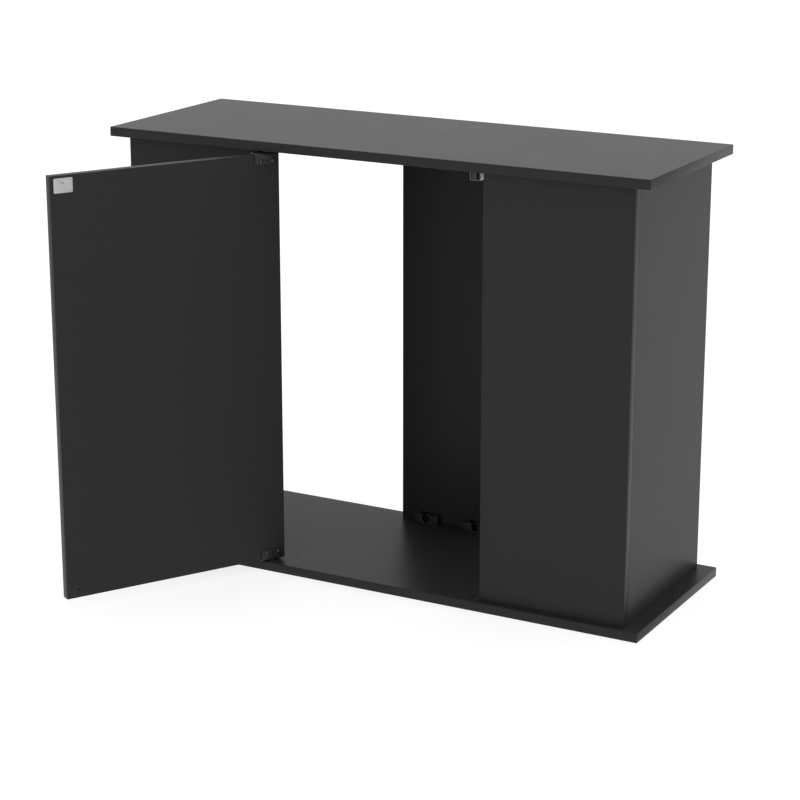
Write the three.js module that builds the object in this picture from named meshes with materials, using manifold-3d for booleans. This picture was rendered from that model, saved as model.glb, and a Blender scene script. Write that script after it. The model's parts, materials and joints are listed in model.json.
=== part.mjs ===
// Aquarium stand cabinet for a tank of 100 x 35 cm, a flat-pack of 16 mm coated board.
// The top and the base are the same drilled board, one of them turned over. Between them stand two
// L-shaped columns (a side panel with a front panel on its front edge), a central back panel, and one
// door that turns on a pin at its top and its bottom. The rear is open on both sides of the back panel.
// Plastic connector blocks with screws join the upright boards to the top and the base.
//
// Millimetres. +X is to the right as seen from the front, +Y is to the back, +Z is up.
// The origin is the centre of the base panel's underside. The door stands open by DOOR_OPEN_DEG.

import * as THREE from 'three';
import { mergeVertices } from 'three/addons/utils/BufferGeometryUtils.js';
import Module from 'manifold-3d';

const wasm = await Module();
wasm.setup();

// ---- Driving dimensions ----

const WIDTH = 1000;
const DEPTH = 350;
const HEIGHT = 756;
const BOARD = 16; // thickness of every board
const SIDE_OVERHANG = 30; // top and base past the columns' outer faces
const END_OVERHANG = 15; // top and base past the front panels and the side panels' rear edges
const BACK_OVERHANG = 10; // top and base past the back panel
const OPENING_WIDTH = 417; // between the two front panels
const BACK_PANEL_WIDTH = 209.4;

const DOOR_SIDE_GAP = 3;
const DOOR_END_GAP = 5.5; // room for the hinge above and below the door
const DOOR_OPEN_DEG = 120;
const PIVOT_INSET = 12.5; // from the door's hinged edge to the pivot
const PIVOT_DEPTH = 8; // from the door's outer face to the pivot

const JOIN_GAP = 0.3; // between pieces that touch each other
const FINE_SIDES = 20; // sides of a round piece that turns, or that shows
const PLAIN_SIDES = 10; // sides of a pilot hole or a hidden shank
const OVERSHOOT = 1; // how far a cutter stands out of the face that it cuts

const BLOCK_LENGTH = 47;
const BLOCK_DEPTH = 16;
const BLOCK_HEIGHT = 17;
const BLOCK_CORNER = 1.5;
const BLOCK_SCREW_OFFSET = 17; // from the block's middle to each upright screw
const BLOCK_NOTCH_RADIUS = 7;
const BLOCK_NOTCH_DEPTH = 9.5;
const BLOCK_WALL_SCREW_RISE = 5; // from the block's middle up to the screw into the wall
const BLOCK_PAIR_SPACING = 100; // between the two blocks at the back panel
const BLOCK_PAIR_ASIDE = 2.1; // from the cabinet's middle to theirs

const SCREW_SHANK = 1.7; // radius
const SCREW_HEAD = 3.6; // radius
const SCREW_HEAD_HEIGHT = 2.4;
const SCREW_DEEP = 11; // how far a screw reaches into a board
const SCREW_TIP = 2.5;

const DOWEL_RADIUS = 4;
const DOWEL_LENGTH = 30;
const DOWEL_CHAMFER = 1;
const DOWEL_IN_FRONT_PANEL = 10;
const DOWEL_END_DISTANCE = 60; // from a panel's end to its first dowel

const PIN_RADIUS = 2;
const PIN_REACH = 9; // into the top or base panel
const PIN_CHAMFER = 1;
const PIN_SHOULDER_RADIUS = 4.2;
const PIN_RUNNING_GAP = 0.08;
const BUSH_RADIUS = 3.2;
const BUSH_FLANGE_RADIUS = 5.5;
const BUSH_FLANGE = 1;
const PIVOT_HOLE_DEPTH = 10.5;

const BRACKET_LENGTH = 44;
const BRACKET_INSET = 2; // from the door's hinged edge
const BRACKET_LEG = 17; // down the door's inner face
const BRACKET_SHEET = 2;
const BRACKET_CORNER = 3;
const BRACKET_SCREW_OFFSET = 11.1; // from the bracket's middle to each screw
const BRACKET_SCREW_DROP = 11.5; // from the door's end to the screws
const BRACKET_SPARE_HOLE = 1.6; // radius of the hole between the screws
const HINGE_SCREW_SHANK = 1.5;
const HINGE_SCREW_HEAD = 3.4;

const CATCH_X = 185; // middle of the magnetic catch
const CATCH_SCREW_Y = -124.8;
const CATCH_SCREW_OFFSET = 18.6;
const CATCH_WIDTH = 18.5;
const CATCH_DEPTH = 34;
const CATCH_HEIGHT = 19.2;
const CATCH_WALL = 0.8;
const CATCH_CORNER = 2;
const CATCH_EAR_WIDTH = 12; // along the depth
const CATCH_EAR = 2;
const CATCH_EAR_SPAN = 46;
const CATCH_FRONT_Y = -142;
const MAGNET_CLEARANCE = 0.6; // from the magnet and its poles to the housing
const MAGNET_WIDTH = 7.6;
const MAGNET_HEIGHT = 12;
const MAGNET_SETBACK = 1; // from the housing's front edge to the magnet
const POLE_RISE = 1; // of the poles above the magnet
const POLE = 1.2;

const STRIKE_WIDTH = 33;
const STRIKE_HEIGHT = 24.2;
const STRIKE_SHEET = 1.2;
const STRIKE_CORNER = 2;
const STRIKE_INSET = 22; // from the door's free edge to the plate's middle
const STRIKE_DROP = 15.9; // from the door's top to the plate's middle
const STRIKE_SCREW_DROP = 11.9; // from the door's top to the screw
const STRIKE_SPARE_RISE = 13.9; // from the door's bottom to the spare hole for a plate there

// ---- Places worked out from them ----

const TOP_UNDERSIDE = HEIGHT - BOARD;
const COLUMN_X = WIDTH / 2 - SIDE_OVERHANG; // outer faces of the side panels
const FRONT_Y = -DEPTH / 2 + END_OVERHANG; // outer faces of the front panels and the door
const REAR_Y = DEPTH / 2 - END_OVERHANG; // rear edges of the side panels
const BACK_REAR_Y = DEPTH / 2 - BACK_OVERHANG;
const FRONT_INNER_Y = FRONT_Y + BOARD;
const BACK_INNER_Y = BACK_REAR_Y - BOARD;
const SIDE_INNER_X = COLUMN_X - BOARD;
const UPRIGHT = TOP_UNDERSIDE - BOARD; // height of the boards between top and base
const FRONT_PANEL_WIDTH = COLUMN_X - OPENING_WIDTH / 2;

const DOOR_WIDTH = OPENING_WIDTH - 2 * DOOR_SIDE_GAP;
const DOOR_BOTTOM = BOARD + DOOR_END_GAP;
const DOOR_TOP = TOP_UNDERSIDE - DOOR_END_GAP;
const DOOR_MIDDLE = (DOOR_BOTTOM + DOOR_TOP) / 2;
const DOOR_INNER_Y = FRONT_INNER_Y;
const PIVOT_X = -DOOR_WIDTH / 2 + PIVOT_INSET;
const PIVOT_Y = FRONT_Y + PIVOT_DEPTH;
const PIVOT_HOLE = BUSH_RADIUS + JOIN_GAP;

// ---- Materials ----

const boardBlack = () => material(0x2b2c2e, 0.45, 0);
const plasticBlack = () => material(0x1a1a1b, 0.5, 0);
const blackSteel = () => material(0x1c1c1d, 0.4, 0.6);
const zincSteel = () => material(0xc6c8c8, 0.35, 0.9);
const ferriteGrey = () => material(0x55565a, 0.6, 0.2);
const beechWood = () => material(0xc9a877, 0.7, 0);

function material(color, roughness, metalness) {
  return new THREE.MeshStandardMaterial({ color, roughness, metalness });
}

// ---- Solid helpers ----

function toSolid(geometry) {
  geometry.deleteAttribute('normal');
  geometry.deleteAttribute('uv');
  const welded = mergeVertices(geometry);
  return new wasm.Manifold(new wasm.Mesh({
    numProp: 3,
    vertProperties: welded.attributes.position.array,
    triVerts: Uint32Array.from(welded.index.array),
  }));
}

function toGeometry(solid) {
  const { vertProperties, triVerts } = solid.getMesh();
  const geometry = new THREE.BufferGeometry();
  geometry.setAttribute('position', new THREE.BufferAttribute(vertProperties, 3));
  geometry.setIndex(new THREE.BufferAttribute(triVerts, 1));
  geometry.computeVertexNormals();
  return geometry;
}

function without(geometry, cutters) {
  let solid = toSolid(geometry);
  for (const cutter of cutters) {
    solid = solid.subtract(toSolid(cutter));
  }
  return toGeometry(solid);
}

function common(geometries) {
  const solids = geometries.map(toSolid);
  return toGeometry(solids.reduce((whole, solid) => whole.intersect(solid)));
}

function joined(geometries) {
  const solids = geometries.map(toSolid);
  return toGeometry(solids.reduce((whole, solid) => whole.add(solid)));
}

// A box between two opposite corners.
function boxBetween(low, high) {
  const size = high.map((value, i) => value - low[i]);
  const middle = high.map((value, i) => (value + low[i]) / 2);
  return new THREE.BoxGeometry(...size).translate(...middle);
}

// A round cutter that enters at a point and runs along a direction, with the radius at its mouth
// and at its end.
function bore(point, direction, depth, radius, sides = PLAIN_SIDES, endRadius = radius) {
  const length = depth + OVERSHOOT;
  const along = new THREE.Vector3(...direction);
  const cutter = new THREE.CylinderGeometry(endRadius, radius, length, sides);
  cutter.applyQuaternion(new THREE.Quaternion().setFromUnitVectors(new THREE.Vector3(0, 1, 0), along));
  const middle = new THREE.Vector3(...point).addScaledVector(along, (depth - OVERSHOOT) / 2);
  return cutter.translate(middle.x, middle.y, middle.z);
}

// A rectangle with round corners, centred on the origin.
function roundedRectangle(width, height, corner) {
  const x = width / 2;
  const y = height / 2;
  const shape = new THREE.Shape();
  shape.absarc(x - corner, y - corner, corner, 0, Math.PI / 2);
  shape.absarc(-x + corner, y - corner, corner, Math.PI / 2, Math.PI);
  shape.absarc(-x + corner, -y + corner, corner, Math.PI, Math.PI * 1.5);
  shape.absarc(x - corner, -y + corner, corner, Math.PI * 1.5, Math.PI * 2);
  return shape;
}

// A plate of that outline in the XZ plane, which runs from y = 0 to y = -thickness.
function upright(shape, thickness, curveSegments = 3) {
  const plate = new THREE.ExtrudeGeometry(shape, { depth: thickness, bevelEnabled: false, curveSegments });
  return plate.rotateX(Math.PI / 2);
}

// A turned piece about +Z, from [radius, z] points.
function turned(profile, sides = FINE_SIDES) {
  const points = profile.map(([radius, z]) => new THREE.Vector2(radius, z));
  return new THREE.LatheGeometry(points, sides).rotateX(Math.PI / 2);
}

function named(name, geometry, finish) {
  const mesh = new THREE.Mesh(geometry, finish);
  mesh.name = name;
  return mesh;
}

// ---- Screws ----

// A pan-head screw: its head stands on z = 0 and its shank runs down.
function panScrew(headRadius, shankRadius, length) {
  return turned([
    [0, -length],
    [shankRadius, -length + SCREW_TIP],
    [shankRadius, 0],
    [headRadius, 0],
    [headRadius, SCREW_HEAD_HEIGHT * 0.5],
    [headRadius * 0.7, SCREW_HEAD_HEIGHT],
    [0, SCREW_HEAD_HEIGHT],
  ], PLAIN_SIDES);
}

// A countersunk screw: its flat head lies at z = 0 and its shank runs down.
function sunkScrew(headRadius, headDepth, shankRadius, length) {
  return turned([
    [0, -length],
    [shankRadius, -length + SCREW_TIP],
    [shankRadius, -headDepth],
    [headRadius, 0],
    [0, 0],
  ], PLAIN_SIDES);
}

// ---- Connector blocks ----

// Where the blocks stand: the foot of the wall behind each block, and the block's heading.
// A block at heading 0 has its wall on the +Y side.
const BLOCK_PLACES = [
  { name: 'back_left', x: -BLOCK_PAIR_SPACING / 2, aside: BLOCK_PAIR_ASIDE, y: BACK_INNER_Y, heading: 0 },
  { name: 'back_right', x: BLOCK_PAIR_SPACING / 2, aside: BLOCK_PAIR_ASIDE, y: BACK_INNER_Y, heading: 0 },
  { name: 'left_side_front', x: -SIDE_INNER_X, aside: 0, y: -84, heading: 90 },
  { name: 'left_side_rear', x: -SIDE_INNER_X, aside: 0, y: 96, heading: 90 },
  { name: 'right_side_front', x: SIDE_INNER_X, aside: 0, y: -84, heading: -90 },
  { name: 'right_side_rear', x: SIDE_INNER_X, aside: 0, y: 96, heading: -90 },
  { name: 'left_front', x: -330, aside: 0, y: FRONT_INNER_Y, heading: 180 },
  { name: 'right_front', x: 330, aside: 0, y: FRONT_INNER_Y, heading: 180 },
];
const LEVELS = [
  { name: 'base', z: BOARD, turn: 0, up: 1 },
  { name: 'top', z: TOP_UNDERSIDE, turn: Math.PI, up: -1 },
];

// Heights in a block's own frame, which has its board under it at z = 0.
const BLOCK_MIDDLE_Z = JOIN_GAP + BLOCK_HEIGHT / 2;
const BLOCK_WALL_SCREW_Z = BLOCK_MIDDLE_Z + BLOCK_WALL_SCREW_RISE;

// The middle of a block's foot line. The back panel's pair stands a little to the right on the base,
// and as much to the left under the top, because that is the same board turned over.
function blockFoot(place, level) {
  return new THREE.Vector3(place.x + level.up * place.aside, place.y, level.z);
}

// The two screw places on the board that carries a block, and the one on its wall.
function blockScrewPlaces(place, level) {
  const heading = THREE.MathUtils.degToRad(place.heading);
  const toWall = new THREE.Vector3(-Math.sin(heading), Math.cos(heading), 0);
  const along = new THREE.Vector3(Math.cos(heading), Math.sin(heading), 0);
  const foot = blockFoot(place, level);
  const middle = foot.clone().addScaledVector(toWall, -JOIN_GAP - BLOCK_DEPTH / 2);
  return {
    board: [-1, 1].map((side) => middle.clone().addScaledVector(along, side * BLOCK_SCREW_OFFSET).toArray()),
    wall: [foot.x, foot.y, foot.z + level.up * BLOCK_WALL_SCREW_Z],
    intoWall: toWall.toArray(),
  };
}

// A block in its own frame: wall behind it at y = 0, board under it at z = 0.
function connectorBlock() {
  const body = upright(roundedRectangle(BLOCK_LENGTH, BLOCK_HEIGHT, BLOCK_CORNER), BLOCK_DEPTH);
  body.translate(0, -JOIN_GAP, BLOCK_MIDDLE_Z);
  const front = -JOIN_GAP - BLOCK_DEPTH;
  const top = JOIN_GAP + BLOCK_HEIGHT;
  const notchFloor = new THREE.CylinderGeometry(
    BLOCK_NOTCH_RADIUS, BLOCK_NOTCH_RADIUS, BLOCK_NOTCH_DEPTH + OVERSHOOT, FINE_SIDES,
  ).translate(0, front + (BLOCK_NOTCH_DEPTH - OVERSHOOT) / 2, BLOCK_MIDDLE_Z);
  const notchMouth = boxBetween(
    [-BLOCK_NOTCH_RADIUS, front - OVERSHOOT, BLOCK_MIDDLE_Z],
    [BLOCK_NOTCH_RADIUS, front + BLOCK_NOTCH_DEPTH, top + OVERSHOOT],
  );
  const hole = SCREW_SHANK + JOIN_GAP;
  const middle = (front - JOIN_GAP) / 2;
  const uprightHoles = [-BLOCK_SCREW_OFFSET, BLOCK_SCREW_OFFSET].map(
    (x) => bore([x, middle, top], [0, 0, -1], BLOCK_HEIGHT + OVERSHOOT, hole),
  );
  const wallHole = bore([0, front, BLOCK_WALL_SCREW_Z], [0, 1, 0], BLOCK_DEPTH + OVERSHOOT, hole);
  return without(body, [notchFloor, notchMouth, ...uprightHoles, wallHole]);
}

// The three screws of a block, in the block's frame.
function blockScrews(name) {
  const middle = -JOIN_GAP - BLOCK_DEPTH / 2;
  const length = BLOCK_HEIGHT + 2 * JOIN_GAP + SCREW_DEEP;
  const screws = [];
  for (const [side, x] of [['left', -BLOCK_SCREW_OFFSET], ['right', BLOCK_SCREW_OFFSET]]) {
    const screw = named(`${name}_${side}_screw`, panScrew(SCREW_HEAD, SCREW_SHANK, length), blackSteel());
    screw.position.set(x, middle, BLOCK_HEIGHT + 2 * JOIN_GAP);
    screws.push(screw);
  }
  const wallLength = BLOCK_DEPTH - BLOCK_NOTCH_DEPTH + 2 * JOIN_GAP + SCREW_DEEP;
  const wallScrew = named(`${name}_wall_screw`, panScrew(SCREW_HEAD, SCREW_SHANK, wallLength), blackSteel());
  wallScrew.rotation.x = Math.PI / 2;
  wallScrew.position.set(0, -BLOCK_DEPTH + BLOCK_NOTCH_DEPTH - 2 * JOIN_GAP, BLOCK_WALL_SCREW_Z);
  return [...screws, wallScrew];
}

function connectorBlocks() {
  const blocks = new THREE.Group();
  for (const place of BLOCK_PLACES) {
    for (const level of LEVELS) {
      const name = `${place.name}_${level.name}_block`;
      const group = new THREE.Group();
      group.rotation.order = 'ZYX';
      group.rotation.set(0, level.turn, THREE.MathUtils.degToRad(place.heading));
      group.position.copy(blockFoot(place, level));
      group.add(named(name, connectorBlock(), plasticBlack()));
      if (place.heading === 0) {
        group.add(...blockScrews(name));
      }
      blocks.add(group);
    }
  }
  return blocks;
}

// ---- Boards ----

const PILOT = SCREW_SHANK + JOIN_GAP;
const PILOT_DEPTH = SCREW_DEEP + JOIN_GAP;

// Pilot holes in the top or base panel: the blocks, the door's pivots and the catch. The board is
// drilled for a door on either side, so the second pivot hole stays empty. The catch's holes are on
// the right in the top and on the left in the base, which is the same board turned over.
function levelBores(level) {
  const into = [0, 0, -level.up];
  const blocks = BLOCK_PLACES.flatMap((place) => blockScrewPlaces(place, level).board);
  const pivots = [PIVOT_X, -PIVOT_X].map((x) => [x, PIVOT_Y, level.z]);
  const catchMiddle = -level.up * CATCH_X;
  const catches = [-CATCH_SCREW_OFFSET, CATCH_SCREW_OFFSET].map(
    (offset) => [catchMiddle + offset, CATCH_SCREW_Y, level.z],
  );
  return [
    ...blocks.map((point) => bore(point, into, PILOT_DEPTH, PILOT)),
    ...pivots.map((point) => bore(point, into, PIVOT_HOLE_DEPTH, PIVOT_HOLE, FINE_SIDES)),
    ...catches.map((point) => bore(point, into, PILOT_DEPTH, HINGE_SCREW_SHANK + JOIN_GAP)),
  ];
}

// Pilot holes in an upright board for the blocks whose wall it is.
function wallBores(isOnBoard) {
  const bores = [];
  for (const place of BLOCK_PLACES.filter(isOnBoard)) {
    for (const level of LEVELS) {
      const { wall, intoWall } = blockScrewPlaces(place, level);
      bores.push(bore(wall, intoWall, PILOT_DEPTH, PILOT));
    }
  }
  return bores;
}

const DOWEL_HEIGHTS = [
  { name: 'lower', z: BOARD + DOWEL_END_DISTANCE },
  { name: 'middle', z: DOOR_MIDDLE },
  { name: 'upper', z: TOP_UNDERSIDE - DOWEL_END_DISTANCE },
];
const DOWEL_HOLE = DOWEL_RADIUS + JOIN_GAP;

function dowelBores(side, into, depth) {
  return DOWEL_HEIGHTS.map(
    ({ z }) => bore([side * (COLUMN_X - BOARD / 2), FRONT_INNER_Y, z], [0, into, 0], depth, DOWEL_HOLE),
  );
}

function levelPanel(name, level) {
  const low = Math.min(level.z, level.z - level.up * BOARD);
  const board = boxBetween([-WIDTH / 2, -DEPTH / 2, low], [WIDTH / 2, DEPTH / 2, low + BOARD]);
  return named(name, without(board, levelBores(level)), boardBlack());
}

function sidePanel(name, side) {
  const faces = [side * SIDE_INNER_X, side * COLUMN_X].sort((a, b) => a - b);
  const board = boxBetween([faces[0], FRONT_INNER_Y, BOARD], [faces[1], REAR_Y, BOARD + UPRIGHT]);
  const bores = [
    ...wallBores((place) => place.x === side * SIDE_INNER_X),
    ...dowelBores(side, 1, DOWEL_LENGTH - DOWEL_IN_FRONT_PANEL + JOIN_GAP),
  ];
  return named(name, without(board, bores), boardBlack());
}

function frontPanel(name, side) {
  const ends = [side * (COLUMN_X - FRONT_PANEL_WIDTH), side * COLUMN_X].sort((a, b) => a - b);
  const board = boxBetween([ends[0], FRONT_Y, BOARD], [ends[1], FRONT_INNER_Y, BOARD + UPRIGHT]);
  const bores = [
    ...wallBores((place) => place.y === FRONT_INNER_Y && place.x * side > 0),
    ...dowelBores(side, -1, DOWEL_IN_FRONT_PANEL + JOIN_GAP),
  ];
  return named(name, without(board, bores), boardBlack());
}

function backPanel() {
  const board = boxBetween(
    [-BACK_PANEL_WIDTH / 2, BACK_INNER_Y, BOARD],
    [BACK_PANEL_WIDTH / 2, BACK_REAR_Y, BOARD + UPRIGHT],
  );
  return named('back_panel', without(board, wallBores((place) => place.y === BACK_INNER_Y)), boardBlack());
}

// The wooden dowels that hold a front panel on its side panel's front edge.
function columnDowels(sideName, side) {
  const end = DOWEL_RADIUS - DOWEL_CHAMFER;
  const profile = [
    [0, 0],
    [end, 0],
    [DOWEL_RADIUS, DOWEL_CHAMFER],
    [DOWEL_RADIUS, DOWEL_LENGTH - DOWEL_CHAMFER],
    [end, DOWEL_LENGTH],
    [0, DOWEL_LENGTH],
  ];
  return DOWEL_HEIGHTS.map(({ name, z }) => {
    const dowel = named(`${sideName}_column_${name}_dowel`, turned(profile, PLAIN_SIDES), beechWood());
    dowel.rotation.x = -Math.PI / 2;
    dowel.position.set(side * (COLUMN_X - BOARD / 2), FRONT_INNER_Y - DOWEL_IN_FRONT_PANEL, z);
    return dowel;
  });
}

// ---- Magnetic catch under the top panel ----

const CATCH_TOP = TOP_UNDERSIDE - JOIN_GAP;

function catchHousing() {
  const rear = CATCH_FRONT_Y + CATCH_DEPTH;
  const middle = CATCH_TOP - CATCH_HEIGHT / 2;
  const body = upright(roundedRectangle(CATCH_WIDTH, CATCH_HEIGHT, CATCH_CORNER), CATCH_DEPTH);
  body.translate(CATCH_X, rear, middle);
  const ears = boxBetween(
    [CATCH_X - CATCH_EAR_SPAN / 2, CATCH_SCREW_Y - CATCH_EAR_WIDTH / 2, CATCH_TOP - CATCH_EAR],
    [CATCH_X + CATCH_EAR_SPAN / 2, CATCH_SCREW_Y + CATCH_EAR_WIDTH / 2, CATCH_TOP],
  );
  const roof = boxBetween(
    [CATCH_X - CATCH_WIDTH / 2, CATCH_FRONT_Y, middle],
    [CATCH_X + CATCH_WIDTH / 2, rear, CATCH_TOP],
  );
  const inside = [CATCH_WIDTH - 2 * CATCH_WALL, CATCH_HEIGHT - 2 * CATCH_WALL, CATCH_CORNER - CATCH_WALL];
  const pocket = upright(roundedRectangle(...inside), CATCH_DEPTH);
  pocket.translate(CATCH_X, rear - CATCH_WALL, middle);
  const holes = [-CATCH_SCREW_OFFSET, CATCH_SCREW_OFFSET].map((offset) => bore(
    [CATCH_X + offset, CATCH_SCREW_Y, CATCH_TOP - CATCH_EAR],
    [0, 0, 1],
    CATCH_EAR + OVERSHOOT,
    HINGE_SCREW_SHANK + JOIN_GAP,
  ));
  const whole = joined([body, ears, roof]);
  return named('catch_housing', without(whole, [pocket, ...holes]), zincSteel());
}

// The magnet between its two pole plates, which stand a little proud of it at the front.
function catchMagnet() {
  const inset = CATCH_WALL + MAGNET_CLEARANCE;
  const rear = CATCH_FRONT_Y + CATCH_DEPTH - inset;
  const low = CATCH_TOP - CATCH_HEIGHT + inset;
  const left = CATCH_X - CATCH_WIDTH / 2 + inset;
  const poleFront = CATCH_FRONT_Y - JOIN_GAP;
  const magnetFront = CATCH_FRONT_Y + MAGNET_SETBACK;
  const pieces = [
    { name: 'catch_left_pole', width: POLE, front: poleFront, extra: POLE_RISE, finish: zincSteel() },
    { name: 'catch_magnet', width: MAGNET_WIDTH, front: magnetFront, extra: 0, finish: ferriteGrey() },
    { name: 'catch_right_pole', width: POLE, front: poleFront, extra: POLE_RISE, finish: zincSteel() },
  ];
  const group = new THREE.Group();
  let x = left;
  for (const { name, width, front, extra, finish } of pieces) {
    const high = low + MAGNET_HEIGHT + extra;
    group.add(named(name, boxBetween([x, front, low], [x + width, rear, high]), finish));
    x += width + JOIN_GAP;
  }
  return group;
}

function catchScrews() {
  const length = CATCH_EAR + 2 * JOIN_GAP + SCREW_DEEP - OVERSHOOT;
  return [['left', -CATCH_SCREW_OFFSET], ['right', CATCH_SCREW_OFFSET]].map(([side, offset]) => {
    const shape = panScrew(HINGE_SCREW_HEAD, HINGE_SCREW_SHANK, length);
    const screw = named(`catch_${side}_screw`, shape, zincSteel());
    screw.rotation.x = Math.PI;
    screw.position.set(CATCH_X + offset, CATCH_SCREW_Y, CATCH_TOP - CATCH_EAR - JOIN_GAP);
    return screw;
  });
}

// ---- Door hinges ----

// The bracket, pin and bush of the upper hinge lie in a frame whose origin is on the pivot axis at
// the top panel's underside, with +Z up. The lower hinge is the same, turned over.
const FLANGE_TOP = -DOOR_END_GAP + JOIN_GAP + BRACKET_SHEET;
const SHOULDER_BOTTOM = FLANGE_TOP + JOIN_GAP;
const BUSH_BOTTOM = -BUSH_FLANGE - JOIN_GAP;
const BRACKET_MIDDLE = -PIVOT_INSET + BRACKET_INSET + BRACKET_LENGTH / 2;
const LEG_OUTER_Y = PIVOT_DEPTH + JOIN_GAP + BRACKET_SHEET;

// An angle of sheet metal: a flange over the door's end and a leg down its inner face.
function hingeBracket() {
  const bend = BRACKET_SHEET;
  const legBottom = -DOOR_END_GAP - BRACKET_LEG;
  const section = new THREE.Shape();
  section.moveTo(-PIVOT_DEPTH, FLANGE_TOP);
  section.lineTo(-PIVOT_DEPTH, FLANGE_TOP - BRACKET_SHEET);
  section.lineTo(LEG_OUTER_Y - BRACKET_SHEET, FLANGE_TOP - BRACKET_SHEET);
  section.lineTo(LEG_OUTER_Y - BRACKET_SHEET, legBottom);
  section.lineTo(LEG_OUTER_Y, legBottom);
  section.absarc(LEG_OUTER_Y - bend, FLANGE_TOP - bend, bend, 0, Math.PI / 2);
  const angle = new THREE.ExtrudeGeometry(section, {
    depth: BRACKET_LENGTH,
    bevelEnabled: false,
    curveSegments: 4,
  });
  angle.rotateX(Math.PI / 2).rotateZ(Math.PI / 2).translate(BRACKET_MIDDLE - BRACKET_LENGTH / 2, 0, 0);
  const reach = PIVOT_DEPTH + LEG_OUTER_Y + BRACKET_CORNER;
  const drop = BRACKET_LEG + DOOR_END_GAP + BRACKET_CORNER;
  const flangeOutline = new THREE.ExtrudeGeometry(
    roundedRectangle(BRACKET_LENGTH, reach, BRACKET_CORNER),
    { depth: 2 * drop, bevelEnabled: false, curveSegments: 4 },
  ).translate(BRACKET_MIDDLE, reach / 2 - PIVOT_DEPTH, -drop);
  const legOutline = upright(roundedRectangle(BRACKET_LENGTH, drop, BRACKET_CORNER), 4 * PIVOT_DEPTH, 4);
  legOutline.translate(BRACKET_MIDDLE, 2 * PIVOT_DEPTH, legBottom + drop / 2);
  return common([angle, flangeOutline, legOutline]);
}

function bracketScrewPlaces() {
  const z = -DOOR_END_GAP - BRACKET_SCREW_DROP;
  return [-BRACKET_SCREW_OFFSET, BRACKET_SCREW_OFFSET].map(
    (offset) => [BRACKET_MIDDLE + offset, LEG_OUTER_Y, z],
  );
}

function drilledBracket() {
  const hole = HINGE_SCREW_SHANK + JOIN_GAP;
  const through = BRACKET_SHEET + OVERSHOOT;
  const places = bracketScrewPlaces();
  const spare = [BRACKET_MIDDLE, places[0][1], places[0][2]];
  return without(hingeBracket(), [
    ...places.map((point) => bore(point, [0, -1, 0], through, hole)),
    bore(spare, [0, -1, 0], through, BRACKET_SPARE_HOLE),
    bore([0, 0, FLANGE_TOP], [0, 0, -1], through, PIN_RADIUS + JOIN_GAP, FINE_SIDES),
  ]);
}

// The pin sits in the bracket's flange, has a shoulder on it, and runs up into the bush.
function hingePin() {
  const foot = FLANGE_TOP - BRACKET_SHEET + JOIN_GAP;
  const shoulderTop = BUSH_BOTTOM - JOIN_GAP;
  return turned([
    [0, foot],
    [PIN_RADIUS, foot],
    [PIN_RADIUS, SHOULDER_BOTTOM],
    [PIN_SHOULDER_RADIUS, SHOULDER_BOTTOM],
    [PIN_SHOULDER_RADIUS, shoulderTop],
    [PIN_RADIUS, shoulderTop],
    [PIN_RADIUS, PIN_REACH - PIN_CHAMFER],
    [PIN_RADIUS - PIN_CHAMFER, PIN_REACH],
    [0, PIN_REACH],
  ]);
}

// A flanged plastic sleeve in the panel's pivot hole.
function pivotBush() {
  const inside = PIN_RADIUS + PIN_RUNNING_GAP;
  const top = PIVOT_HOLE_DEPTH - JOIN_GAP;
  return turned([
    [inside, BUSH_BOTTOM],
    [BUSH_FLANGE_RADIUS, BUSH_BOTTOM],
    [BUSH_FLANGE_RADIUS, -JOIN_GAP],
    [BUSH_RADIUS, -JOIN_GAP],
    [BUSH_RADIUS, top],
    [inside, top],
    [inside, BUSH_BOTTOM],
  ]);
}

const HINGES = [
  { name: 'upper', z: TOP_UNDERSIDE, mirror: 1 },
  { name: 'lower', z: BOARD, mirror: -1 },
];

// Mirrors a shape of the upper hinge for the lower one, and turns its faces the right way out again.
function forHinge(geometry, mirror) {
  if (mirror === 1) {
    return geometry;
  }
  const mirrored = geometry.scale(1, 1, mirror);
  const order = mirrored.index.array;
  for (let i = 0; i < order.length; i += 3) {
    [order[i], order[i + 1]] = [order[i + 1], order[i]];
  }
  mirrored.computeVertexNormals();
  return mirrored;
}

function pivotBushes() {
  return HINGES.map(({ name, z, mirror }) => {
    const bush = named(`${name}_pivot_bush`, forHinge(pivotBush(), mirror), plasticBlack());
    bush.position.set(PIVOT_X, PIVOT_Y, z);
    return bush;
  });
}

// The hinge pieces that move with the door, at their places on the closed door.
function doorHinges() {
  const length = BRACKET_SHEET + 2 * JOIN_GAP + SCREW_DEEP;
  const hinges = new THREE.Group();
  for (const { name, z, mirror } of HINGES) {
    const hinge = new THREE.Group();
    hinge.position.set(PIVOT_X, PIVOT_Y, z);
    hinge.add(named(`${name}_hinge_bracket`, forHinge(drilledBracket(), mirror), blackSteel()));
    hinge.add(named(`${name}_hinge_pin`, forHinge(hingePin(), mirror), zincSteel()));
    bracketScrewPlaces().forEach(([x, y, height], i) => {
      const finish = blackSteel();
      const screw = named(
        `${name}_hinge_screw_${i + 1}`,
        panScrew(HINGE_SCREW_HEAD, HINGE_SCREW_SHANK, length),
        finish,
      );
      screw.rotation.x = -Math.PI / 2;
      screw.position.set(x, y + JOIN_GAP, height * mirror);
      hinge.add(screw);
    });
    hinges.add(hinge);
  }
  return hinges;
}

// ---- Door ----

const STRIKE_X = DOOR_WIDTH / 2 - STRIKE_INSET;
const STRIKE_FACE_Y = DOOR_INNER_Y + JOIN_GAP + STRIKE_SHEET;

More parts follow.
